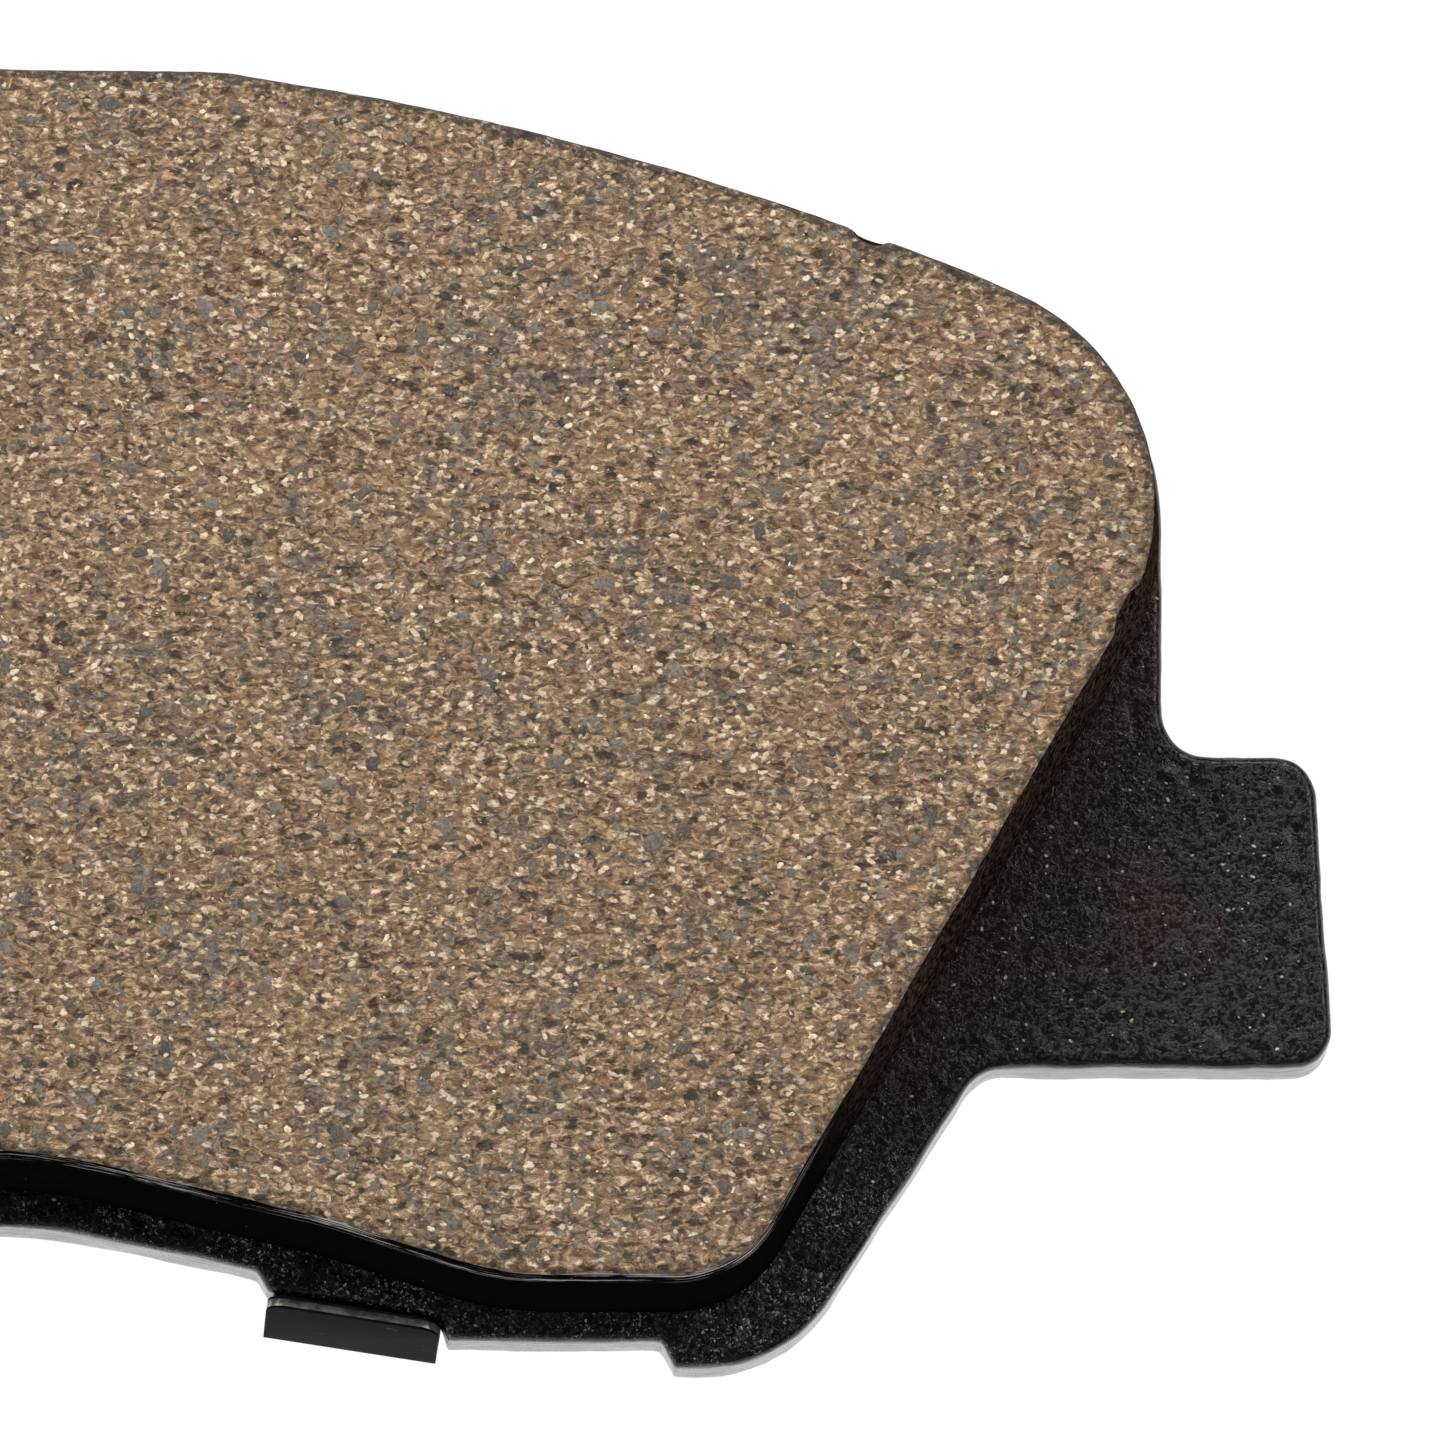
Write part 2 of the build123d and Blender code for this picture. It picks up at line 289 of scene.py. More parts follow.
# ---------------------------------------------------------------- mesh building
class Shell:
    """A mesh made from rings round an outline and filled flat faces."""

    def __init__(self, name: str) -> None:
        """Start an empty shell with the piece's name."""
        self.name = name
        self.spots: list[tuple[float, float, float]] = []
        self.faces: list[tuple[int, ...]] = []
        self.skins: list[int] = []
        self.rim: list[float] = []

    def ring(self, outline: Outline, height: float | np.ndarray, rim: float = 0.0) -> list[int]:
        """Add the points of one ring.

        Args:
            outline: Where the ring runs.
            height: Its height, or one for each point.
            rim: Distance inside the edge of the face, in millimetres.

        Returns:
            The numbers of the new points.
        """
        start = len(self.spots)
        heights = np.broadcast_to(np.asarray(height, dtype=float), (len(outline.points),))
        self.spots.extend((p[0], p[1], z) for p, z in zip(outline.points, heights))
        self.rim.extend([rim] * len(outline.points))
        return list(range(start, len(self.spots)))

    def wall(self, lower: list[int], upper: list[int], skin: Skin, inward: bool = False) -> None:
        """Join two rings of as many points by a band of faces.

        Args:
            lower: Ring at the lower end.
            upper: Ring at the upper end.
            skin: Material of the band.
            inward: True for the wall of a hole.
        """
        count = len(lower)
        for k in range(count):
            n = (k + 1) % count
            face = (lower[k], lower[n], upper[n], upper[k])
            self.faces.append(face[::-1] if inward else face)
            self.skins.append(skin.value)

    def fill(self, rings: list[list[int]], inner: np.ndarray, height: np.ndarray,
             rims: np.ndarray, skin: Skin, up: bool) -> None:
        """Close a face inside the first ring and round the others.

        Args:
            rings: The outer ring, then the rings of any holes.
            inner: Loose points inside the face.
            height: Height of each loose point.
            rims: Distance of each loose point from the edge, in millimetres.
            skin: Material of the face.
            up: True where the face looks up.
        """
        flat, numbers, edges = [], [], []
        for ring in rings:
            first = len(flat)
            flat.extend(Vector(self.spots[k][:2]) * PER_MM for k in ring)
            numbers.extend(ring)
            edges.extend((first + k, first + (k + 1) % len(ring)) for k in range(len(ring)))
        start = len(self.spots)
        self.spots.extend((p[0], p[1], z) for p, z in zip(inner, height))
        self.rim.extend(float(r) for r in rims)
        numbers.extend(range(start, len(self.spots)))
        flat.extend(Vector(p) * PER_MM for p in inner)
        places, _, triangles, origins, *_ = delaunay_2d_cdt(flat, edges, [], INSIDE_EDGES, SEAM)
        source = []
        for spot, origin in zip(places, origins):
            if not origin:
                self.spots.append((spot.x * MM, spot.y * MM, self.spots[rings[0][0]][2]))
                self.rim.append(0.0)
            source.append(numbers[origin[0]] if origin else len(self.spots) - 1)
        corners = np.array([tuple(spot) for spot in places])
        middles = corners[np.array(triangles)].mean(axis=1) * MM
        keep = np.ones(len(middles), dtype=bool)
        for ring in rings[1:]:
            keep &= ~Outline(np.array([self.spots[k][:2] for k in ring])).holds(middles)
        for face, wanted in zip(triangles, keep):
            if wanted:
                turned = tuple(source[v] for v in face)
                self.faces.append(turned if up else turned[::-1])
                self.skins.append(skin.value)

    def cap(self, rings: list[list[int]], skin: Skin, up: bool) -> None:
        """Close a flat face that has no loose points."""
        self.fill(rings, np.zeros((0, 2)), np.zeros(0), np.zeros(0), skin, up)

    def build(self, materials: list[bpy.types.Material], sharp: float = 40.0) -> bpy.types.Object:
        """Make the object.

        Args:
            materials: One for each skin.
            sharp: Edges that turn further than this many degrees stay crisp.

        Returns:
            The finished object.
        """
        mesh = bpy.data.meshes.new(self.name)
        mesh.from_pydata(self.spots, [], self.faces)
        for material in materials:
            mesh.materials.append(material)
        mesh.polygons.foreach_set("material_index", self.skins)
        mesh.polygons.foreach_set("use_smooth", [True] * len(self.faces))
        layer = mesh.attributes.new("rim_mm", "FLOAT", "POINT")
        layer.data.foreach_set("value", self.rim)
        mesh.set_sharp_from_angle(angle=math.radians(sharp))
        mesh.validate()
        mesh.update()
        return add_object(self.name, mesh)


# ---------------------------------------------------------------- node trees
class NodeBoard:
    """A node tree, with short calls that add and join nodes."""

    def __init__(self, tree: bpy.types.NodeTree) -> None:
        """Take the tree to work on."""
        self.tree = tree

    def put(self, node: bpy.types.Node, socket: str | int, value: object) -> None:
        """Set an input of a node, a colour without its alpha, or join another socket to it."""
        end = node.inputs[socket]
        if isinstance(value, Socket):
            self.tree.links.new(value, end)
        else:
            end.default_value = (*value, 1.0) if end.type == "RGBA" else value

    def add(self, kind: str, inputs: dict[str | int, object], **settings: object) -> bpy.types.Node:
        """Add a node.

        Args:
            kind: Type of the node.
            inputs: Value or source of each input that is set.
            settings: Properties of the node.

        Returns:
            The node.
        """
        node = self.tree.nodes.new(kind)
        for name, value in settings.items():
            setattr(node, name, value)
        for socket, value in inputs.items():
            self.put(node, socket, value)
        return node

    def maths(self, kind: str, one: object, two: object) -> Socket:
        """Return a sum, difference or power of two values."""
        return self.add("ShaderNodeMath", {0: one, 1: two}, operation=kind).outputs[0]

    def times(self, one: object, two: object) -> Socket:
        """Return the product of two values."""
        return self.maths("MULTIPLY", one, two)

    def vector(self, kind: str, inputs: dict[str | int, object]) -> Socket:
        """Return a sum, product or the like of vectors."""
        return self.add("ShaderNodeVectorMath", inputs, operation=kind).outputs["Vector"]


class Paint(NodeBoard):
    """The node tree of one material."""

    coat_roughness = 0.07

    def __init__(self, name: str) -> None:
        """Start a material with a Principled shader."""
        self.material = bpy.data.materials.new(name)
        self.material.use_nodes = True
        super().__init__(self.material.node_tree)
        self.shader = self.tree.nodes["Principled BSDF"]

    def place(self, scale: Scale3 = (1.0, 1.0, 1.0), turn: float = 0.0) -> Socket:
        """Return the place on the object in millimetres.

        Args:
            scale: Squeeze along each axis, after the change to millimetres.
            turn: Turn about the upright axis, in radians.

        Returns:
            A vector socket.
        """
        source = self.add("ShaderNodeTexCoord", {}).outputs["Object"]
        grid = {"Vector": source, "Scale": [PER_MM * s for s in scale], "Rotation": (0.0, 0.0, turn)}
        return self.add("ShaderNodeMapping", grid).outputs["Vector"]

    def warp(self, place: Socket, scale: float, amount: float) -> Socket:
        """Shake a place so that patterns on it lose their straight edges.

        Args:
            place: The place to shake.
            scale: Ripples in a millimetre.
            amount: Largest shift in millimetres.

        Returns:
            The shaken place.
        """
        ripples = self.add("ShaderNodeTexNoise", {"Vector": place, "Scale": scale, "Detail": 2.0})
        sizes = {0: ripples.outputs["Color"], 1: [amount * 2] * 3, 2: [-amount] * 3}
        return self.vector("ADD", {0: place, 1: self.vector("MULTIPLY_ADD", sizes)})

    def noise(self, place: Socket, scale: float, detail: float = 2.0, rough: float = 0.5,
              twist: float = 0.0) -> Socket:
        """Return cloud noise.

        Args:
            place: Where to read it.
            scale: Clouds in a millimetre.
            detail: Finer layers.
            rough: Strength of the finer layers.
            twist: Distortion.

        Returns:
            A value socket between 0 and 1.
        """
        layers = {"Detail": detail, "Roughness": rough, "Distortion": twist}
        node = self.add("ShaderNodeTexNoise", {"Vector": place, "Scale": scale, **layers})
        return node.outputs["Fac"]

    def cells(self, place: Socket, scale: float) -> tuple[Socket, ...]:
        """Return the distance to the nearest of many scattered points, and three chances.

        Args:
            place: Where to read them.
            scale: Points in a millimetre.

        Returns:
            The distance, and three values that are the same all over one cell.
        """
        node = self.add("ShaderNodeTexVoronoi", {"Vector": place, "Scale": scale})
        split = self.add("ShaderNodeSeparateColor", {"Color": node.outputs["Color"]})
        return node.outputs["Distance"], *(split.outputs[k] for k in range(3))

    def grains(self, place: Socket, scale: float, picked: Span, size: Span) -> tuple[Socket, ...]:
        """Return grains scattered one to a cell, in some of the cells.

        Args:
            place: Where to read them.
            scale: Cells in a millimetre.
            picked: Range of the chance over which a cell comes to have a grain.
            size: Distances from a grain's middle at which it starts and is full.

        Returns:
            The grains, and two chances that are the same all over one cell.
        """
        far, pick, tone, other = self.cells(place, scale)
        return self.times(self.step(pick, *picked), self.step(far, *size)), tone, other

    def step(self, value: object, low: float, high: float) -> Socket:
        """Return a smooth rise from 0 at the low value to 1 at the high one, or a fall."""
        falls = low > high
        ends = {"From Min": min(low, high), "From Max": max(low, high), "To Min": float(falls),
                "To Max": float(not falls)}
        node = self.add("ShaderNodeMapRange", {"Value": value, **ends}, interpolation_type="SMOOTHSTEP")
        return node.outputs["Result"]

    def blend(self, share: object, one: object, two: object) -> Socket:
        """Return a mixture of two colours."""
        inputs = {0: share, COLOUR_A: one, COLOUR_B: two}
        return self.add("ShaderNodeMix", inputs, data_type="RGBA").outputs[COLOUR_OUT]

    def ramp(self, value: Socket, stops: tuple[tuple[float, Rgb], ...]) -> Socket:
        """Return a colour that follows a value through a row of stops."""
        node = self.add("ShaderNodeValToRGB", {"Fac": value})
        marks = node.color_ramp.elements
        while len(marks) < len(stops):
            marks.new(0.5)
        for mark, (at, colour) in zip(marks, stops):
            mark.position = at
            mark.color = (*colour, 1.0)
        return node.outputs["Color"]

    def along(self, axis: str, low: float, high: float) -> Socket:
        """Return a smooth rise or fall between two places on one axis, in millimetres."""
        split = self.add("ShaderNodeSeparateXYZ", {"Vector": self.place()})
        return self.step(split.outputs[axis], low, high)

    def attribute(self, name: str) -> Socket:
        """Return a number stored on the mesh."""
        return self.add("ShaderNodeAttribute", {}, attribute_name=name).outputs["Fac"]

    def bump(self, height: object, depth: float, under: Socket | None = None) -> Socket:
        """Return a surface normal with fine relief.

        Args:
            height: Height between 0 and 1.
            depth: Real depth in millimetres.
            under: A relief that this one lies on.

        Returns:
            The normal.
        """
        inputs = {"Height": height, "Distance": depth * MM, "Strength": 1.0}
        if under is not None:
            inputs["Normal"] = under
        return self.add("ShaderNodeBump", inputs).outputs["Normal"]

    def dress(self, colour: object, rough: object, normal: Socket | None = None, metal: float = 0.0,
              gloss: float = 0.5, coat: float = 0.0) -> bpy.types.Material:
        """Join the finished values to the shader.

        Args:
            colour: Base colour.
            rough: Roughness.
            normal: Relief.
            metal: Metallic share.
            gloss: Specular level.
            coat: Weight of a clear coat.

        Returns:
            The material.
        """
        values = {"Base Color": colour, "Roughness": rough, "Metallic": metal, "Specular IOR Level": gloss,
                  "Coat Weight": coat, "Coat Roughness": self.coat_roughness}
        if normal is not None:
            values["Normal"] = normal
        for socket, value in values.items():
            self.put(self.shader, socket, value)
        return self.material


# ---------------------------------------------------------------- finishes
@dataclass(frozen=True)
class FrictionMix:
    """Ground face of the resin-bonded friction material."""

    strokes: tuple[tuple[float, Rgb], ...] = (
        (0.32, (0.016, 0.010, 0.006)),
        (0.41, (0.060, 0.036, 0.021)),
        (0.47, (0.150, 0.093, 0.054)),
        (0.53, (0.240, 0.152, 0.084)),
        (0.60, (0.440, 0.305, 0.180)),
        (0.69, (0.860, 0.700, 0.510)),
    )
    rust: Rgb = (0.250, 0.110, 0.050)
    straw: Rgb = (0.330, 0.230, 0.090)
    soot: Rgb = (0.044, 0.030, 0.020)
    ash: Rgb = (0.158, 0.129, 0.102)
    pale_ash: Rgb = (0.370, 0.320, 0.270)
    cinder: Rgb = (0.021, 0.014, 0.009)
    tan: Rgb = (0.440, 0.305, 0.180)
    cream: Rgb = (0.850, 0.700, 0.500)
    copper: Rgb = (0.400, 0.180, 0.090)
    burnt: Rgb = (0.022, 0.017, 0.013)
    grinding: float = 0.10
    burnt_from: float = 2.0
    burnt_to: float = 14.0

    def material(self) -> bpy.types.Material:
        """Build the speckled material."""
        b = Paint("friction_mix")
        place = b.place()
        drawn = b.place((0.66, 1.0, 1.0), self.grinding)
        strokes = b.noise(b.warp(drawn, 2.2, 0.30), 2.9, 5.0, 0.70, 0.55)
        colour = b.ramp(strokes, self.strokes)
        tint = b.step(b.noise(b.warp(place, 1.8, 0.30), 1.0, 3.0, 0.6), 0.50, 0.70)
        colour = b.blend(b.times(tint, 0.34), colour, self.rust)
        straw = b.step(b.noise(b.warp(place, 2.0, 0.4), 0.8, 3.0, 0.6), 0.52, 0.66)
        colour = b.blend(b.times(straw, 0.18), colour, self.straw)
        ashes = self.ashes(b, place)
        grey = b.blend(b.step(strokes, 0.38, 0.60), self.soot, self.ash)
        grey = b.blend(b.step(strokes, 0.58, 0.72), grey, self.pale_ash)
        colour = b.blend(b.times(ashes, 0.80), colour, grey)
        cinders, *_ = b.grains(b.warp(drawn, 2.6, 0.40), 1.5, (0.78, 0.80), (0.48, 0.22))
        colour = b.blend(b.times(cinders, 0.85), colour, self.cinder)
        colour = self.bright_grains(b, drawn, colour)
        colour = b.blend(b.times(self.burn(b, place), 0.85), colour, self.burnt)
        relief = b.maths("SUBTRACT", strokes, b.times(cinders, 0.5))
        rough = b.maths("SUBTRACT", 0.66, b.times(ashes, 0.16))
        return b.dress(colour, rough, b.bump(relief, 0.10), gloss=0.35)

    def ashes(self, b: Paint, place: Socket) -> Socket:
        """Return where the grey patches lie, thicker in some parts of the face than in others."""
        broad = b.maths("SUBTRACT", b.noise(place, 0.13, 3.0, 0.55), 0.5)
        patches = b.noise(b.warp(place, 3.4, 0.26), 0.90, 4.0, 0.66)
        return b.step(b.maths("ADD", patches, b.times(broad, 0.36)), 0.535, 0.610)

    def bright_grains(self, b: Paint, drawn: Socket, colour: Socket) -> Socket:
        """Return the colour with its cream and copper grains."""
        far, pick, tone, other = b.cells(b.warp(drawn, 4.0, 0.24), 2.7)
        pale = b.times(b.step(pick, 0.80, 0.82), b.step(far, 0.46, 0.24))
        colour = b.blend(b.times(pale, 0.85), colour, b.blend(tone, self.tan, self.cream))
        rusty = b.times(b.step(other, 0.965, 0.972), b.step(far, 0.50, 0.30))
        return b.blend(b.times(rusty, 0.50), colour, self.copper)

    def burn(self, b: Paint, place: Socket) -> Socket:
        """Return where the broken rim is burnt, which is along its upper part."""
        inside = b.maths("SUBTRACT", b.attribute("rim_mm"), b.times(b.noise(place, 2.8, 4.0, 0.70), 1.15))
        return b.times(b.step(inside, -0.42, -0.64), b.along("Y", self.burnt_from, self.burnt_to))


@dataclass(frozen=True)
class SideLacquer:
    """Dull black lacquer on the sides of the moulded block, with painted highlight lines along the lower
    rim.
    """

    black: Rgb = (0.0042, 0.0038, 0.0035)
    scuff: Rgb = (0.170, 0.108, 0.086)
    dust: Rgb = (0.300, 0.260, 0.200)
    rim_glint: Rgb = (0.620, 0.590, 0.550)
    crest: float = 18.3
    reach: float = 3.0
    low_side: float = -22.0

    def material(self) -> bpy.types.Material:
        """Build the lacquer with its scuffs (weakened by side as painted shade), its dust and the painted
        highlight lines.
        """
        b = Paint("side_lacquer")
        place = b.place()
        marks = b.noise(b.warp(b.place((2.2, 2.2, 1.2)), 1.5, 0.4), 1.3, 5.0, 0.70)
        # Painted shade: the scuffs fade out on the lower walls and thin out on the upper walls that face
        # the lamps, so these walls are painted darker.
        marks = b.times(b.step(marks, 0.42, 0.68), b.along("Y", -26.0, -14.0))
        painted_shade_by_side = b.maths("ADD", 0.14, b.times(b.along("Y", 17.0, 4.0), 0.46))
        colour = b.blend(b.times(marks, painted_shade_by_side), self.black, self.scuff)
        dust, *_ = b.grains(place, 1.3, (0.955, 0.96), (0.10, 0.05))
        colour = b.blend(dust, colour, self.dust)
        # Painted highlight: bright lines near the crest of the lower side stand in for glints on the glossy
        # rounded rim.
        colour = b.blend(self.painted_rim_glints(b), colour, self.rim_glint)
        relief = b.bump(b.noise(b.warp(place, 1.2, 0.3), 1.6, 4.0, 0.60), 0.20)
        return b.dress(colour, 0.70, relief, gloss=0.0)

    def painted_rim_glints(self, b: Paint) -> Socket:
        """Return the broken painted highlight lines near the crest of the lower side."""
        lines = b.noise(b.warp(b.place((0.085, 0.085, 1.9)), 1.2, 0.12), 1.7, 4.0, 0.62)
        near = b.along("Z", self.crest - self.reach, self.crest - 0.6 * self.reach)
        broken = b.step(b.noise(b.place((0.5, 0.5, 1.0)), 0.9, 3.0, 0.6), 0.38, 0.52)
        broken = b.times(broken, b.along("Y", self.low_side, self.low_side - 4.0))
        return b.times(b.step(lines, 0.520, 0.570), b.times(near, broken))


@dataclass(frozen=True)
class PlateCoat:
    """Thick black powder coating of the backing plate."""

    black: Rgb = (0.0052, 0.0049, 0.0050)
    stain: Rgb = (0.0150, 0.0060, 0.0042)
    foot_shade: Rgb = (0.0125, 0.0060, 0.0046)
    wrinkle_glint: Rgb = (0.110, 0.104, 0.098)
    dust: Rgb = (0.60, 0.52, 0.40)
    crumb_and_glint: Rgb = (0.60, 0.54, 0.46)

    def material(self) -> bpy.types.Material:
        """Build the leathery coating with moulding dust in it, and its painted shade and glints."""
        b = Paint("plate_coat")
        place = b.place()
        colour = self.dirt_and_painted_light(b, place)
        folds = b.noise(b.warp(b.place((0.85, 1.0, 1.0), 0.7), 2.0, 0.30), 2.1, 3.0, 0.60, 0.6)
        leather = b.bump(b.step(folds, 0.49, 0.76), 0.036)
        grain = b.noise(b.warp(place, 4.0, 0.10), 4.6, 4.0, 0.66)
        relief = b.bump(b.step(grain, 0.49, 0.73), 0.014, leather)
        rough = b.maths("ADD", 0.12, b.times(b.noise(place, 2.0, 2.0), 0.15))
        return b.dress(colour, rough, relief, gloss=0.31)

    def dirt_and_painted_light(self, b: Paint, place: Socket) -> Socket:
        """Return the black with its stains and dust, the painted shade round the foot of the block, the
        painted glints on the wrinkles, and the crumbs with painted glints along the lower edge.
        """
        inward = b.step(b.attribute("rim_mm"), 2.5, 9.0)
        clouds = b.step(b.noise(place, 0.22, 3.0), 0.40, 0.62)
        colour = b.blend(b.times(clouds, inward), self.black, self.stain)
        # Painted shade: near the foot of the block the coat is painted the brown-dark tone of the block's
        # shadow.
        foot = b.times(b.step(b.attribute("foot_mm"), 6.5, 0.5), b.along("Y", -27.0, -17.0))
        colour = b.blend(foot, colour, self.foot_shade)
        # Painted highlight: light worm-like strokes stand in for glints on the coat's wrinkles.
        wrinkle_glints = b.noise(b.warp(b.place((0.8, 1.3, 1.0), 0.5), 2.8, 0.3), 6.0, 3.0, 0.6, 1.0)
        colour = b.blend(b.times(b.step(wrinkle_glints, 0.62, 0.74), 0.12), colour, self.wrinkle_glint)
        brushed = b.warp(b.place((0.7, 1.0, 1.0), 0.5), 3.0, 0.2)
        specks, *_ = b.grains(brushed, 2.6, (0.93, 0.94), (0.20, 0.08))
        colour = b.blend(b.times(specks, 0.60), colour, self.dust)
        # Crumbs of debris along the lower edge, which are also painted glints on the coat in the shade of
        # the block.
        crumbs_and_glints, tone, _ = b.grains(b.warp(place, 3.0, 0.35), 5.2, (0.50, 0.52), (0.50, 0.20))
        crumbs_and_glints = b.times(crumbs_and_glints, b.step(b.noise(place, 0.45, 3.0, 0.6), 0.38, 0.60))
        crumbs_and_glints = b.times(crumbs_and_glints, b.along("Y", -20.0, -27.0))
        return b.blend(b.times(crumbs_and_glints, b.times(tone, 0.8)), colour, self.crumb_and_glint)


@dataclass(frozen=True)
class CutEdge:
    """Sheared side of the backing plate under a thin glossy coat."""

    black: Rgb = (0.0080, 0.0074, 0.0066)
    worn_and_reflection: Rgb = (0.060, 0.054, 0.048)

    def material(self) -> bpy.types.Material:
        """Build the streaky coated edge."""
        b = Paint("cut_edge")
        streaks = b.noise(b.warp(b.place((0.14, 0.14, 1.1)), 1.2, 0.3), 1.5, 4.0, 0.66)
        # Worn streaks on the edge, lightened so that they also paint in part of the floor's reflection on
        # it.
        colour = b.blend(b.times(b.step(streaks, 0.50, 0.66), 0.75), self.black, self.worn_and_reflection)
        pits, *_ = b.grains(b.place(), 0.30, (0.80, 0.82), (0.12, 0.06))
        relief = b.bump(b.maths("SUBTRACT", streaks, pits), 0.16)
        return b.dress(colour, b.maths("ADD", 0.10, b.times(streaks, 0.18)), relief, coat=0.30)


@dataclass(frozen=True)
class ShimRubber:
    """Matt black-grey rubber coat of the shim."""

    grey: Rgb = (0.0125, 0.0125, 0.0132)
    chalk: Rgb = (0.0240, 0.0240, 0.0252)
    scratch: Rgb = (0.140, 0.140, 0.145)

    def material(self) -> bpy.types.Material:
        """Build the rubber with a faint bloom."""
        b = Paint("shim_rubber")
        place = b.place()
        bloom = b.step(b.noise(b.warp(place, 0.5, 0.8), 0.35, 4.0, 0.6), 0.40, 0.72)
        colour = b.blend(bloom, self.grey, self.chalk)
        scratch = b.step(b.noise(b.place((0.25, 1.6, 1.0), 0.4), 2.6, 2.0), 0.68, 0.74)
        colour = b.blend(b.times(scratch, 0.30), colour, self.scratch)
        relief = b.bump(b.noise(place, 9.0, 3.0, 0.6), 0.010)
        return b.dress(colour, b.maths("ADD", 0.46, b.times(bloom, 0.14)), relief, gloss=0.02)


@dataclass(frozen=True)
class ShimSteel:
    """Bare cut edge of the shim's steel sheet."""

    bright: Rgb = (0.62, 0.59, 0.54)
    dull: Rgb = (0.26, 0.24, 0.21)

    def material(self) -> bpy.types.Material:
        """Build the sheared steel."""
        b = Paint("shim_steel_edge")
        streaks = b.noise(b.warp(b.place((0.6, 0.6, 3.0)), 1.2, 0.2), 2.2, 4.0, 0.6)
        colour = b.blend(b.step(streaks, 0.38, 0.64), self.dull, self.bright)
        rough = b.maths("ADD", 0.30, b.times(b.noise(b.place(), 3.0), 0.2))
        return b.dress(colour, rough, b.bump(streaks, 0.03), metal=0.85)


@dataclass(frozen=True)
class BondResin:
    """Edge of the baked adhesive film."""

    amber: Rgb = (0.030, 0.014, 0.007)
    baked: Rgb = (0.010, 0.006, 0.004)

    def material(self) -> bpy.types.Material:
        """Build the resin."""
        b = Paint("bond_resin")
        tone = b.noise(b.place(), 1.2, 3.0)
        return b.dress(b.blend(tone, self.amber, self.baked), 0.25, b.bump(tone, 0.02))


@dataclass(frozen=True)
class ChipFinish:
    """Loose chips whose tone changes from chip to chip."""

    name: str
    dark: Rgb
    light: Rgb
    rough: float
    metal: float
    crust: float = 0.0

    def material(self) -> bpy.types.Material:
        """Build the finish; the tone comes from a number stored on each chip."""
        b = Paint(self.name)
        colour = b.blend(b.attribute("tone"), self.dark, self.light)
        mottle = b.step(b.noise(b.place(), 5.5, 4.0, 0.70), 0.42, 0.60)
        colour = b.blend(b.times(mottle, 0.65), colour, self.dark)
        crust = b.step(b.noise(b.place((1.3, 0.8, 1.0)), 6.5, 3.0, 0.70), 0.52, 0.66)
        colour = b.blend(b.times(crust, self.crust), colour, self.light)
        return b.dress(colour, self.rough, b.bump(b.noise(b.place(), 8.0), 0.01), metal=self.metal)


# ---------------------------------------------------------------- the pad's pieces
@dataclass
class Bite:
    """A place where the rim of the block has crumbled."""

    spot: Point2
    reach: float
    depth: float

    def cut(self, points: np.ndarray) -> np.ndarray:
        """Return how far each point lies back because of this bite."""
        gaps = np.linalg.norm(points - np.array(self.spot), axis=1)
        away = np.linalg.norm(points - points[gaps.argmin()], axis=1) / self.reach
        return self.depth * np.clip(1.0 - away ** 4, 0.0, 1.0)


@dataclass(frozen=True)
class RimStep:
    """One ring of the block's broken rim: its share of the height, its inset and its roughness."""

    share: float
    inset: float
    rough: float


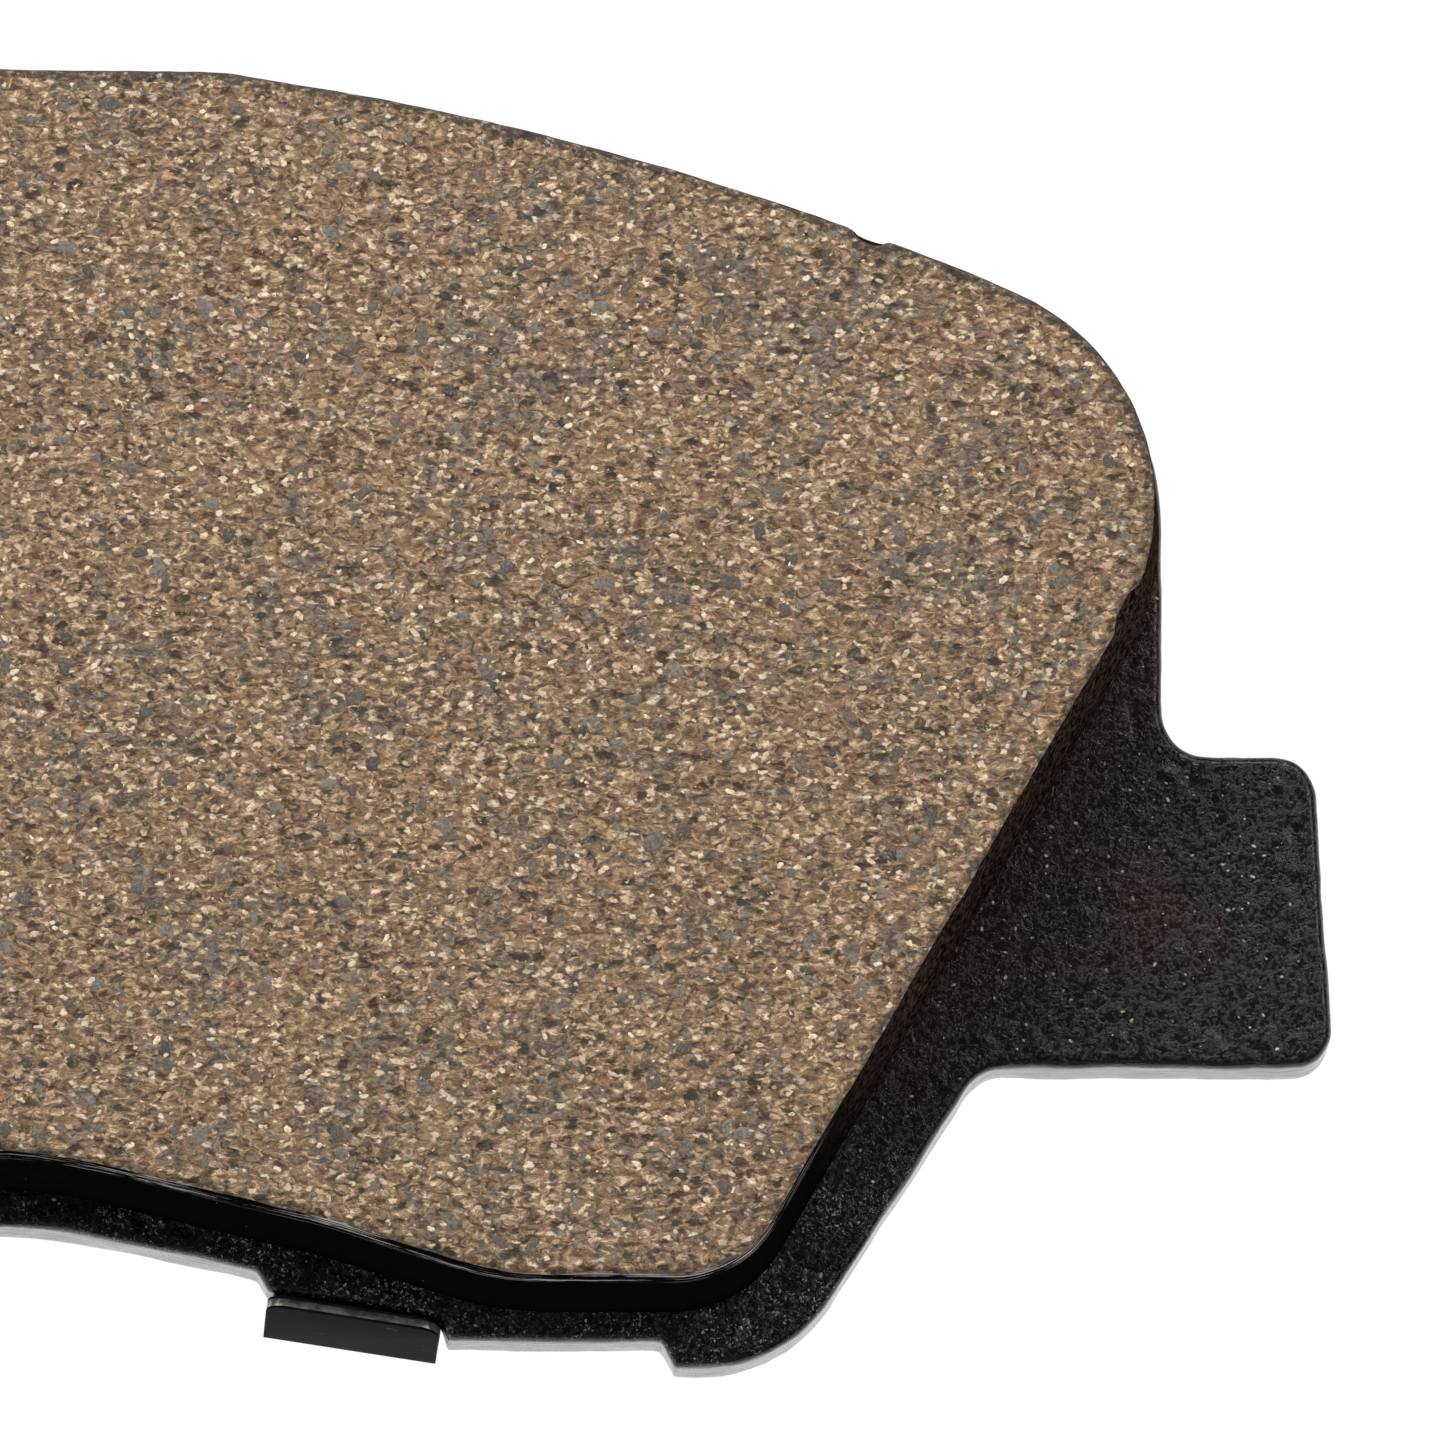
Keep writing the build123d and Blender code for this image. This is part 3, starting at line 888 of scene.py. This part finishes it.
@dataclass
class FrictionBlock:
    """Moulded friction block with a ground face, a broken rim and drafted sides."""

    node: str = "friction_block"
    bevel: float = 0.50 * MM
    draft: float = math.radians(3.0)
    pitch: float = 0.44 * MM
    levels: int = 9
    rim_steps: tuple[RimStep, ...] = (
        RimStep(share=0.34, inset=0.05 * MM, rough=0.03 * MM),
        RimStep(share=0.70, inset=0.17 * MM, rough=0.06 * MM),
        RimStep(share=0.93, inset=0.31 * MM, rough=0.08 * MM),
    )
    bites: tuple[Bite, ...] = (
        Bite((46.9 * MM, 27.6 * MM), reach=0.9 * MM, depth=0.45 * MM),
        Bite((58.8 * MM, 4.6 * MM), reach=1.3 * MM, depth=0.40 * MM),
        Bite((-52.6 * MM, 21.0 * MM), reach=0.8 * MM, depth=0.35 * MM),
        Bite((-20.4 * MM, 32.6 * MM), reach=0.7 * MM, depth=0.30 * MM),
    )
    crest: Outline = field(init=False)
    face: Outline = field(init=False)
    floor_height: float = field(init=False)
    face_height: float = field(init=False)

    def __post_init__(self) -> None:
        """Read the sizes from the frame."""
        low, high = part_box(self.node)
        self.floor_height, self.face_height = low[2], high[2]
        self.crest = Outline.cut(self.node, self.face_height - self.bevel * 1.1, 0.33 * MM)

    def ragged(self, size: float, amount: float, seed: float) -> np.ndarray:
        """Return a random shift for each point of the crest."""
        return ripple(self.crest.points, size, seed) * amount

    def build(self, mix: bpy.types.Material, lacquer: bpy.types.Material) -> bpy.types.Object:
        """Make the block.

        Args:
            mix: Material of the ground face.
            lacquer: Material of the sides.

        Returns:
            The finished object.
        """
        shell = Shell("friction_pad_block")
        crest_height = self.face_height - self.bevel
        back = sum(bite.cut(self.crest.points) for bite in self.bites)
        sway = self.ragged(6.0 * MM, 0.035 * MM, 3.1) + self.ragged(1.1 * MM, 0.022 * MM, 8.4)
        rings = []
        for k in range(self.levels):
            share = k / (self.levels - 1)
            height = self.floor_height + (crest_height - self.floor_height) * share
            out = (crest_height - height) * math.tan(self.draft)
            move = out + sway * min(1.0, 3 * share) - back * share ** 8
            rings.append(shell.ring(self.crest.grown(move), height, -1.0))
        for step in self.rim_steps:
            move = sway - back - step.inset + self.ragged(1.6 * MM, step.rough, 5.0 + step.share)
            lift = self.ragged(0.9 * MM, 0.05 * MM, 1.0 + step.share)
            height = crest_height + self.bevel * step.share + np.minimum(lift, 0.0)
            rings.append(shell.ring(self.crest.grown(move), height, 0.1 * step.share - 0.1))
        edge = -0.46 * MM - back * 1.15
        edge = edge + self.ragged(1.7 * MM, 0.12 * MM, 5.9) + self.ragged(0.5 * MM, 0.06 * MM, 2.7)
        self.face = self.crest.grown(np.minimum(edge, -0.30 * MM))
        rings.append(shell.ring(self.face, self.face_height, 0.0))
        for k, (lower, upper) in enumerate(zip(rings, rings[1:])):
            shell.wall(lower, upper, Skin.FACE if k >= self.levels else Skin.SIDE)
        spots = self.inner_spots()
        away = self.face.distance(spots)
        dents = np.minimum(ripple(spots, 0.9 * MM, 4.4) + 0.30, 0.0) * 0.07 * MM
        waves = ripple(spots, 2.6 * MM, 7.7) * 0.008 * MM - 0.008 * MM
        shell.fill([rings[-1]], spots, self.face_height + dents + waves, away / MM, Skin.FACE, True)
        shell.cap([rings[0]], Skin.SIDE, False)
        return shell.build([mix, lacquer])

    def inner_spots(self) -> np.ndarray:
        """Return the loose points of the ground face."""
        low, high = self.face.points.min(axis=0), self.face.points.max(axis=0)
        spots = hex_spots(tuple(low), tuple(high), self.pitch, 0.16, 21)
        spots = spots[self.face.holds(spots)]
        return spots[self.face.distance(spots) > self.pitch * 0.55]

    def bed(self, inset: float) -> bpy.types.Object:
        """Return a flat sheet on the face, for chips to lie on."""
        shell = Shell("face_bed")
        ring = shell.ring(self.face.grown(-inset), self.face_height)
        shell.cap([ring], Skin.FACE, True)
        return shell.build([])


@dataclass
class BackingPlate:
    """Blanked steel plate under a thick coat, with a rolled front edge and a sheared side."""

    footprint: Outline
    node: str = "backing_plate"
    pitch: float = 0.29 * MM
    profile: tuple[Span, ...] = (
        (0.00, -0.34), (0.05, -0.14), (0.22, -0.03), (0.7, 0.0), (1.4, 0.0), (2.1, 0.0),
        (2.8, 0.0), (3.5, 0.0), (4.2, 0.0), (4.8, -0.01), (5.10, -0.05),
        (5.30, -0.13), (5.43, -0.25), (5.485, -0.42),
    )
    rolled_rings: int = 5
    bead_inset: float = 1.15
    bead_width: float = 0.45
    outer: Outline = field(init=False)
    holes: list[Outline] = field(init=False)
    rear: float = field(init=False)
    front: float = field(init=False)

    def __post_init__(self) -> None:
        """Read the sizes from the frame."""
        low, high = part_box(self.node)
        self.rear, self.front = low[2], high[2]
        middle = (self.rear + self.front) / 2
        self.outer = Outline.cut(self.node, middle, 0.34 * MM)
        self.holes = [Outline.cut(self.node, middle, 0.6 * MM, loop) for loop in (1, 2)]

    def build(self, coat: bpy.types.Material, edge: bpy.types.Material) -> bpy.types.Object:
        """Make the plate.

        Args:
            coat: Material of the two faces.
            edge: Material of the sides.

        Returns:
            The finished object.
        """
        shell = Shell("coated_backing_plate")
        points = self.outer.points
        rings = []
        for rise, inset in self.profile:
            tall = np.column_stack([points, np.full(len(points), rise * MM * 0.5)])
            shift = ripple(tall, 3.2 * MM, 6.2) * 0.050 + ripple(tall, 1.0 * MM, 9.4) * 0.022
            lift = 0.0
            if 0 < rise < 5.4:
                lift = ripple(points, 4.0 * MM, 2.2 + rise) * 0.06 * MM * min(1.0, rise / 2)
            moved = self.outer.grown((inset + shift - 0.03) * MM)
            rings.append(shell.ring(moved, self.rear + rise * MM + lift, 0.5))
        for k, (lower, upper) in enumerate(zip(rings, rings[1:])):
            sheared = 0 < k < len(rings) - self.rolled_rings
            shell.wall(lower, upper, Skin.SIDE if sheared else Skin.FACE)
        lower_holes, upper_holes = [], []
        for hole in self.holes:
            lower_holes.append(shell.ring(hole, self.rear))
            upper_holes.append(shell.ring(hole, self.front))
            shell.wall(lower_holes[-1], upper_holes[-1], Skin.SIDE, inward=True)
        self.face(shell, [rings[-1], *upper_holes], True)
        self.face(shell, [rings[0], *lower_holes], False)
        plate = shell.build([coat, edge], 50.0)
        self.mark_foot(plate)
        return plate

    def mark_foot(self, plate: bpy.types.Object) -> None:
        """Store on each point how far it lies from the foot of the block, in millimetres."""
        spots = np.array([tuple(v.co)[:2] for v in plate.data.vertices])
        mark = plate.data.attributes.new("foot_mm", "FLOAT", "POINT")
        mark.data.foreach_set("value", (self.footprint.distance(spots) / MM).astype(np.float32))

    def face(self, shell: Shell, rings: list[list[int]], up: bool) -> None:
        """Fill the front or the rear face, finely where the coat shows.

        Args:
            shell: The shell to add to.
            rings: The edge ring and the rings of the holes.
            up: True for the front face.
        """
        edge = Outline(np.array([shell.spots[k][:2] for k in rings[0]]))
        low, high = tuple(edge.points.min(axis=0)), tuple(edge.points.max(axis=0))
        fine = hex_spots(low, high, self.pitch if up else 0.8 * MM, 0.22, 33)
        coarse = hex_spots(low, high, 3.2 * MM, 0.10, 34)
        shown = self.footprint.grown(-0.5 * MM)
        deep = self.footprint.grown(-2.0 * MM)
        spots = np.concatenate([fine[~shown.holds(fine)], coarse[deep.holds(coarse)]])
        spots = spots[edge.holds(spots)]
        for hole in self.holes:
            spots = spots[~hole.grown(0.6 * MM).holds(spots)]
        away = edge.distance(spots)
        spots, away = spots[away > 0.2 * MM], away[away > 0.2 * MM]
        leather = ripple(spots, 0.85 * MM, 3.3, 3) * 0.020 + ripple(spots, 3.5 * MM, 1.3) * 0.012 - 0.032
        bead = np.exp(-((away / MM - self.bead_inset) / self.bead_width) ** 2)
        leather = leather + bead * (ripple(spots, 0.95 * MM, 5.6) * 0.095 + 0.010)
        hidden = shown.grown(-0.6 * MM).holds(spots)
        leather = np.where(hidden, 0.0, leather) * MM
        height = self.front + leather if up else self.rear - leather * 0.6
        shell.fill(rings, spots, height, away / MM + 1.0, Skin.FACE, up)

    def bed(self) -> bpy.types.Object:
        """Return a flat sheet on the margin of the front face, for specks to lie on."""
        shell = Shell("margin_bed")
        outside = shell.ring(self.outer.grown(-0.9 * MM), self.front)
        inside = shell.ring(self.footprint.grown(0.35 * MM), self.front)
        shell.cap([outside, inside], Skin.FACE, True)
        return shell.build([])


@dataclass
class ShimLayer:
    """One layer of the laminated shim, with the crisp edges of its sheet softened."""

    node: str
    name: str
    edge: float = 0.035 * MM
    crisp: float = math.radians(35.0)
    flat_area: float = 5e-6

    def build(self, material: bpy.types.Material) -> bpy.types.Object:
        """Make the layer from its own CAD mesh.

        Args:
            material: Its material.

        Returns:
            The finished object.
        """
        shape = bmesh.new()
        shape.from_mesh(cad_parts[self.node].data)
        bmesh.ops.remove_doubles(shape, verts=shape.verts, dist=2 * SNAP)
        level = math.radians(1.0)
        bmesh.ops.dissolve_limit(shape, angle_limit=level, verts=shape.verts, edges=shape.edges)
        sharp = [e for e in shape.edges if e.is_manifold and e.calc_face_angle() > self.crisp]
        bmesh.ops.bevel(
            shape, geom=sharp, offset=self.edge, offset_type="OFFSET", segments=2,
            profile=0.6, affect="EDGES", clamp_overlap=True,
        )
        for face in shape.faces:
            face.smooth = face.calc_area() < self.flat_area
            face.material_index = 0
        bmesh.ops.recalc_face_normals(shape, faces=shape.faces)
        mesh = bpy.data.meshes.new(self.name)
        shape.to_mesh(mesh)
        shape.free()
        mesh.materials.clear()
        mesh.materials.append(material)
        mesh.set_sharp_from_angle(angle=self.crisp)
        return add_object(self.name, mesh)


@dataclass
class Scatter:
    """Small chips strewn over a sheet by a Geometry Nodes tree."""

    name: str
    finish: ChipFinish
    per_mm2: float
    seed: int
    small: float
    large: float
    stretch: float = 1.0
    thick: float = 0.05
    turn: float = math.pi
    sides: int = 5
    ragged: float = 0.3
    taper: float = 0.62
    small_lead: float = 1.8

    def inputs(self, material: bpy.types.Material) -> list[tuple[str, str, object]]:
        """Return the name, kind and value of each input of the tree."""
        number, whole = "NodeSocketFloat", "NodeSocketInt"
        return [
            ("Chips per area", number, self.per_mm2 * PER_MM ** 2),
            ("Seed", whole, self.seed),
            ("Smallest", number, self.small * MM),
            ("Largest", number, self.large * MM),
            ("Stretch", number, self.stretch),
            ("Thickness", number, self.thick * MM),
            ("Turn", number, self.turn),
            ("Sides", whole, self.sides),
            ("Raggedness", number, self.ragged * (self.small + self.large) * MM),
            ("Material", "NodeSocketMaterial", material),
        ]

    def tree(self, inputs: list[tuple[str, str, object]]) -> bpy.types.NodeTree:
        """Build the tree.

        Args:
            inputs: Name, kind and value of each input.

        Returns:
            The node tree.
        """
        b = NodeBoard(bpy.data.node_groups.new(f"{self.name}_tree", "GeometryNodeTree"))
        sides = b.tree.interface
        sides.new_socket("Bed", in_out="INPUT", socket_type="NodeSocketGeometry")
        for name, kind, _ in inputs:
            sides.new_socket(name, in_out="INPUT", socket_type=kind)
        sides.new_socket("Chips", in_out="OUTPUT", socket_type="NodeSocketGeometry")
        given = b.add("NodeGroupInput", {}).outputs
        strew = b.add("GeometryNodeDistributePointsOnFaces", {
            "Mesh": given["Bed"], "Density": given["Chips per area"], "Seed": given["Seed"]})
        lay = b.add("GeometryNodeInstanceOnPoints", {
            "Points": strew.outputs["Points"], "Instance": self.chip(b, given["Sides"]),
            "Rotation": self.heading(b, given["Turn"]), "Scale": self.size(b, given)})
        mark = b.add("GeometryNodeStoreNamedAttribute", {
            "Name": "tone", "Geometry": lay.outputs["Instances"], "Value": self.chance(b, 0.0, 1.0, 4),
        }, data_type="FLOAT", domain="INSTANCE")
        real = b.add("GeometryNodeRealizeInstances", {"Geometry": mark.outputs["Geometry"]})
        bent = b.add("GeometryNodeSetPosition", {
            "Geometry": real.outputs["Geometry"], "Offset": self.push(b, given["Raggedness"])})
        dress = b.add("GeometryNodeSetMaterial", {
            "Geometry": bent.outputs["Geometry"], "Material": given["Material"]})
        b.add("NodeGroupOutput", {"Chips": dress.outputs["Geometry"]})
        return b.tree

    def chance(self, b: NodeBoard, low: float, high: float, shift: int) -> Socket:
        """Return a random number for each chip."""
        inputs = {CHANCE_LOW: low, CHANCE_HIGH: high, "Seed": self.seed + shift}
        return b.add("FunctionNodeRandomValue", inputs, data_type="FLOAT").outputs[CHANCE_OUT]

    def chip(self, b: NodeBoard, sides: Socket) -> Socket:
        """Return one chip: a low cone without its point, sunk so that its top lies near the sheet."""
        shape = {"Vertices": sides, "Radius Top": self.taper, "Radius Bottom": 1.0, "Depth": 1.0}
        cone = b.add("GeometryNodeMeshCone", shape, fill_type="NGON")
        sunk = {"Geometry": cone.outputs["Mesh"], "Translation": (0.0, 0.0, -0.62)}
        return b.add("GeometryNodeTransform", sunk).outputs["Geometry"]

    def heading(self, b: NodeBoard, turn: Socket) -> Socket:
        """Return the turn of each chip about the upright axis."""
        swing = b.times(self.chance(b, -1.0, 1.0, 3), turn)
        euler = b.add("ShaderNodeCombineXYZ", {"Z": swing}).outputs["Vector"]
        return b.add("FunctionNodeEulerToRotation", {"Euler": euler}).outputs["Rotation"]

    def size(self, b: NodeBoard, given: bpy.types.bpy_prop_collection) -> Socket:
        """Return the size of each chip along its three axes, with more small chips than large ones."""
        share = b.maths("POWER", self.chance(b, 0.0, 1.0, 1), self.small_lead)
        span = b.maths("SUBTRACT", given["Largest"], given["Smallest"])
        wide = b.maths("ADD", given["Smallest"], b.times(share, span))
        long = b.times(b.times(wide, given["Stretch"]), self.chance(b, 0.75, 1.25, 2))
        thick = b.times(given["Thickness"], self.chance(b, 0.5, 1.3, 5))
        return b.add("ShaderNodeCombineXYZ", {"X": long, "Y": wide, "Z": thick}).outputs["Vector"]

    def push(self, b: NodeBoard, raggedness: Socket) -> Socket:
        """Return the level shift that makes the outlines of the chips ragged."""
        place = b.add("GeometryNodeInputPosition", {}).outputs["Position"]
        scale = 0.8 / (self.large * MM)
        ripples = b.add("ShaderNodeTexNoise", {"Vector": place, "Scale": scale}).outputs["Color"]
        centred = b.vector("SUBTRACT", {0: ripples, 1: (0.5, 0.5, 0.5)})
        level = b.vector("MULTIPLY", {0: centred, 1: (1.0, 1.0, 0.0)})
        return b.vector("SCALE", {0: level, "Scale": raggedness})

    def build(self, bed: bpy.types.Object) -> bpy.types.Object:
        """Strew the chips and turn them into one plain mesh.

        Args:
            bed: The sheet to strew them on, which is removed afterwards.

        Returns:
            The finished object.
        """
        inputs = self.inputs(self.finish.material())
        modifier = bed.modifiers.new("scatter", "NODES")
        modifier.node_group = self.tree(inputs)
        ends = modifier.node_group.interface.items_tree
        sockets = {s.name: s.identifier for s in ends if s.in_out == "INPUT"}
        for name, _, value in inputs:
            modifier[sockets[name]] = value
        bpy.context.view_layer.update()
        graph = bpy.context.evaluated_depsgraph_get()
        mesh = bpy.data.meshes.new_from_object(bed.evaluated_get(graph), depsgraph=graph)
        mesh.name = self.name
        thing = add_object(self.name, mesh)
        bpy.data.objects.remove(bed)
        return thing


# ---------------------------------------------------------------- stage
@dataclass(frozen=True)
class Lamp:
    """One soft lamp: where it hangs, in degrees, how wide it is and how bright."""

    bearing: float
    height: float
    size: float
    radiance: float

    def way(self) -> Vector:
        """Return the direction from the pad to the lamp."""
        a, h = math.radians(self.bearing), math.radians(self.height)
        return Vector((math.cos(a) * math.cos(h), math.sin(a) * math.cos(h), math.sin(h)))


@dataclass(frozen=True)
class Studio:
    """White table, soft lamps and the surrounding light."""

    table_height: float = -8.6 * MM
    table_size: float = 3.0
    table_light: float = 1.0
    table_base: Rgb = (0.02, 0.02, 0.02)
    around: float = 0.06
    lamp_distance: float = 0.80
    soft_lamps: tuple[Lamp, ...] = (
        Lamp(bearing=115.0, height=50.0, size=0.42, radiance=7.5),
        Lamp(bearing=62.0, height=46.0, size=0.36, radiance=7.0),
        Lamp(bearing=178.0, height=44.0, size=0.36, radiance=5.0),
        Lamp(bearing=8.0, height=52.0, size=0.34, radiance=4.5),
        Lamp(bearing=-88.0, height=38.0, size=0.30, radiance=0.8),
    )

    def table(self) -> bpy.types.Object:
        """Return the table under the pad, lit from within."""
        half = self.table_size / 2
        corners = [(x * half, y * half, self.table_height) for x, y in ((-1, -1), (1, -1), (1, 1), (-1, 1))]
        mesh = bpy.data.meshes.new("table")
        mesh.from_pydata(corners, [], [(0, 1, 2, 3)])
        b = Paint("table_white")
        b.dress(self.table_base, 1.0, gloss=0.0)
        b.put(b.shader, "Emission Color", WHITE)
        b.put(b.shader, "Emission Strength", self.table_light)
        self.clear_from_below(b)
        mesh.materials.append(b.material)
        return add_object("table", mesh)

    def clear_from_below(self, b: Paint) -> None:
        """Let the underside of the table be seen through, so that the pad's rear shows."""
        side = b.add("ShaderNodeNewGeometry", {}).outputs["Backfacing"]
        glass = b.add("ShaderNodeBsdfTransparent", {}).outputs["BSDF"]
        mix = b.add("ShaderNodeMixShader", {0: side, 1: b.shader.outputs["BSDF"], 2: glass})
        b.put(b.tree.nodes["Material Output"], "Surface", mix.outputs["Shader"])

    def surroundings(self) -> None:
        """Set the light from all round, and the white backdrop behind the pad."""
        world = bpy.data.worlds.new("studio")
        world.use_nodes = True
        b = NodeBoard(world.node_tree)
        dim = b.tree.nodes["Background"]
        b.put(dim, "Color", WHITE)
        b.put(dim, "Strength", self.around)
        white = b.add("ShaderNodeBackground", {"Color": WHITE}).outputs[0]
        seen = b.add("ShaderNodeLightPath", {}).outputs["Is Camera Ray"]
        mix = b.add("ShaderNodeMixShader", {0: seen, 1: dim.outputs[0], 2: white})
        b.put(b.tree.nodes["World Output"], "Surface", mix.outputs[0])
        bpy.context.scene.world = world

    def lamps(self) -> None:
        """Hang the soft lamps round the pad."""
        for k, given in enumerate(self.soft_lamps):
            lamp = bpy.data.lights.new(f"soft_lamp_{k}", "AREA")
            lamp.shape = "SQUARE"
            lamp.size = given.size
            lamp.energy = math.pi * given.size ** 2 * given.radiance
            thing = add_object(lamp.name, lamp)
            way = given.way()
            thing.location = way * self.lamp_distance
            thing.rotation_euler = way.to_track_quat("Z", "Y").to_euler()

    def build(self) -> None:
        """Set up the whole stage."""
        self.surroundings()
        self.lamps()
        self.table()
        bpy.context.scene.view_settings.view_transform = "Standard"


@dataclass(frozen=True)
class LongView:
    """Long lens looking almost straight down on one half of the pad."""

    lens: float = 568.0
    distance: float = 1.2
    tilt: float = math.radians(8.0)
    sideways: float = -0.0178
    right_margin: float = 32.05 * MM
    height_on_pad: float = 0.01 * MM
    sensor: float = 36.0
    nearest: float = 0.05

    def build(self) -> None:
        """Make the camera and set it as the scene's."""
        camera = bpy.data.cameras.new("long_view")
        camera.lens = self.lens
        camera.sensor_width = self.sensor
        camera.clip_start = self.nearest
        thing = add_object("long_view", camera)
        plate_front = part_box("backing_plate")[1][2]
        target = Vector((CAD_HIGH[0] - self.right_margin, self.height_on_pad, plate_front))
        back = Vector((self.sideways, -math.sin(self.tilt), math.cos(self.tilt))).normalized()
        right = Vector((0.0, 1.0, 0.0)).cross(back).normalized()
        up = back.cross(right)
        turn = Matrix((right, up, back)).transposed()
        thing.matrix_world = Matrix.Translation(target + back * self.distance) @ turn.to_4x4()
        bpy.context.scene.camera = thing


# ---------------------------------------------------------------- assembly
@dataclass(frozen=True)
class Placed:
    """How a finished piece belongs to the part."""

    body: str
    slot: str
    stands_for: str | None = None

    def settle(self, piece: bpy.types.Object) -> None:
        """Attach the piece to its body and hide the CAD node that it stands for."""
        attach(piece, self.body)
        if self.stands_for:
            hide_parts(self.stands_for)
        LOG.info("%s: %d faces on %s", piece.name, len(piece.data.polygons), self.body)


class Pad:
    """The pad proper: plate, bond, underlayer, friction block and what lies on them."""

    def build(self) -> None:
        """Build every piece that rides on the pad."""
        lacquer = SideLacquer().material()
        block = FrictionBlock()
        Placed(PAD_BODY, "friction_mix", block.node).settle(block.build(FrictionMix().material(), lacquer))
        self.recoat("underlayer", lacquer)
        self.recoat("bond_film", BondResin().material())
        foot = Outline.cut("underlayer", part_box("underlayer")[1][2] - 0.3 * MM, 0.5 * MM)
        plate = BackingPlate(foot)
        coated = plate.build(PlateCoat().material(), CutEdge().material())
        Placed(PAD_BODY, "black_coat", plate.node).settle(coated)
        for scatter in self.face_scatters():
            Placed(PAD_BODY, "friction_mix").settle(scatter.build(block.bed(0.35 * MM)))
        grain = ChipFinish("dust_grain", dark=(0.10, 0.068, 0.045), light=(0.66, 0.60, 0.50),
                           rough=0.6, metal=0.1)
        dust = Scatter("coat_dust", grain, per_mm2=0.85, seed=77, small=0.022, large=0.105,
                       stretch=1.5, thick=0.05, ragged=0.7)
        Placed(PAD_BODY, "black_coat").settle(dust.build(plate.bed()))

    def recoat(self, node: str, material: bpy.types.Material) -> None:
        """Give a CAD node its material."""
        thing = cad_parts[node]
        for slot in thing.material_slots:
            slot.material = material

    def face_scatters(self) -> list[Scatter]:
        """Return what is strewn over the ground face."""
        brass = ChipFinish("brass_chip", dark=(0.330, 0.200, 0.100), light=(0.860, 0.720, 0.520),
                           rough=0.50, metal=0.1)
        flake = ChipFinish("graphite_flake", dark=(0.036, 0.024, 0.016), light=(0.205, 0.166, 0.130),
                           rough=0.60, metal=0.0, crust=0.75)
        return [
            Scatter("brass_chips", brass, per_mm2=0.95, seed=41, small=0.040, large=0.19,
                    stretch=1.70, thick=0.06, turn=1.1, sides=6, ragged=1.1),
            Scatter("graphite_flakes", flake, per_mm2=0.24, seed=42, small=0.08, large=0.40,
                    stretch=1.45, thick=0.04, sides=12, ragged=1.7),
        ]


class Shim:
    """The clip-on shim: two rubber layers on a steel sheet."""

    def build(self) -> None:
        """Build every piece that rides on the shim."""
        rubber, steel = ShimRubber().material(), ShimSteel().material()
        layers = (
            (ShimLayer("shim_outer_rubber", "shim_rubber_outside"), rubber, "shim_rubber"),
            (ShimLayer("shim_steel", "shim_sheet_core"), steel, "shim_sheet"),
            (ShimLayer("shim_inner_rubber", "shim_rubber_inside"), rubber, "shim_rubber"),
        )
        for layer, material, slot in layers:
            Placed(SHIM_BODY, slot, layer.node).settle(layer.build(material))


def main() -> None:
    """Build the stage and the pieces, and settle them on the frame."""
    logging.basicConfig(level=logging.INFO, format="%(name)s: %(message)s")
    LongView().build()
    Studio().build()
    Pad().build()
    Shim().build()


if __name__ == "__main__":
    main()
